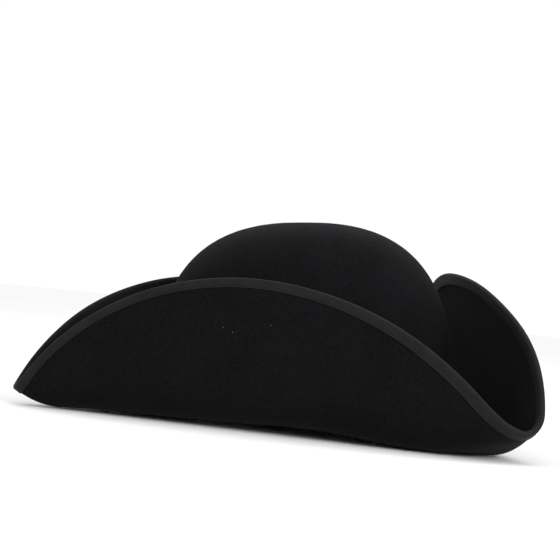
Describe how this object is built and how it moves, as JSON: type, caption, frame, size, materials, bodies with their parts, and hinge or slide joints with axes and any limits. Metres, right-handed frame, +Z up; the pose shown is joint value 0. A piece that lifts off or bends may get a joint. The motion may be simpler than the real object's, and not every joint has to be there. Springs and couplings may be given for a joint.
{
  "type": "tricorn hat",
  "caption": "Black wool-felt tricorn hat: a domed crown in a round brim folded up into flaps, its edge bound with grosgrain ribbon, with a crown band and a sweatband",
  "frame": {"origin": "on the table under the middle of the hat's bounding box", "axes": "+Z up through the crown, -Y to the front corner, +X to the wearer's left"},
  "size_m": [0.3728, 0.3236, 0.1441],
  "materials": {
    "felt": "matte wool felt with a soft nap",
    "grosgrain": "ribbed ribbon with a low sheen",
    "leather": "satin, fine grain",
    "reed": "matte"
  },
  "bodies": {
    "root": {"felt_crown": "felt", "felt_brim": "felt", "edge_binding": "grosgrain", "crown_band": "grosgrain", "band_bow_front_loop": "grosgrain", "band_bow_rear_loop": "grosgrain", "band_bow_knot": "grosgrain", "sweatband": "leather", "sweatband_reed": "reed"}
  },
  "joints": []
}
